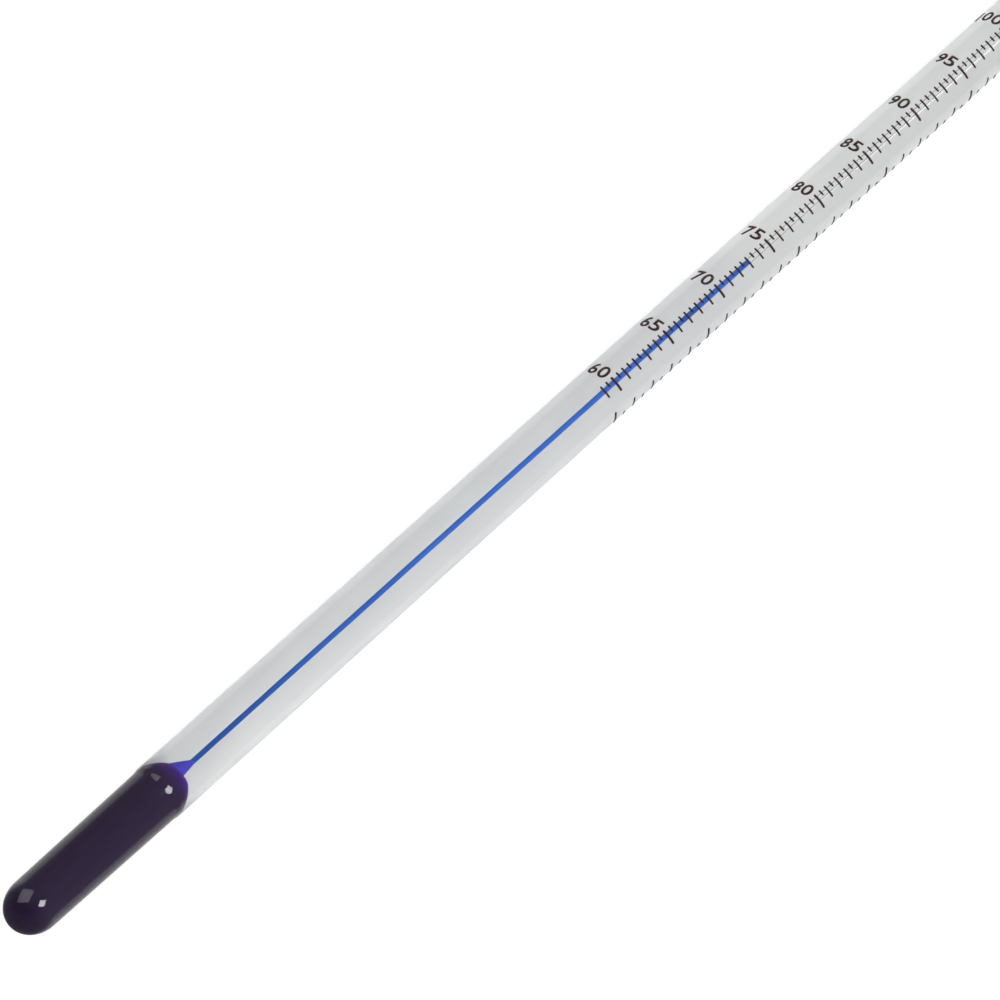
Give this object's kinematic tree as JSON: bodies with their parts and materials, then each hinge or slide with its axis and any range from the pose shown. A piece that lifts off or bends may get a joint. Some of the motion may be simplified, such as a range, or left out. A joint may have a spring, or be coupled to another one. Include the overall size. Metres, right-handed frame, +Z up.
{
  "type": "spirit thermometer",
  "caption": "Round glass spirit thermometer with a bulb, a dyed thread in its bore, a white opal back and fired Fahrenheit and Celsius scales.",
  "frame": {"origin": "on the surface the thermometer lies on, under the middle of its length", "axes": "+X along the stem from the bulb to the closed top, +Z up; the scales' common centre line is 66 degrees round the stem from +Z towards -Y"},
  "size_m": [0.3, 0.0065, 0.0066],
  "materials": {
    "clear_glass": "polished",
    "opal_glass": "polished",
    "bulb_spirit": "gloss",
    "thread_spirit": "gloss",
    "enamel_ink": "satin"
  },
  "bodies": {
    "thermometer": {"stem_glass": "clear_glass", "bulb_glass": "clear_glass", "opal_band": "opal_glass", "bulb_spirit": "bulb_spirit", "neck_spirit": "thread_spirit", "spirit_thread": "thread_spirit", "f_half_marks": "enamel_ink", "f_degree_marks": "enamel_ink", "f_five_marks": "enamel_ink", "f_numerals": "enamel_ink", "f_unit": "enamel_ink", "c_half_marks": "enamel_ink", "c_degree_marks": "enamel_ink", "c_five_marks": "enamel_ink", "c_numerals": "enamel_ink", "c_unit": "enamel_ink"},
    "spirit_top": {"spirit_meniscus": "thread_spirit"}
  },
  "joints": [
    {"name": "spirit_rise", "type": "slide", "parent": "thermometer", "child": "spirit_top", "axis": [1, 0, 0], "range_m": [-0.02697, 0.13818], "deforming": ["spirit_thread"]}
  ]
}
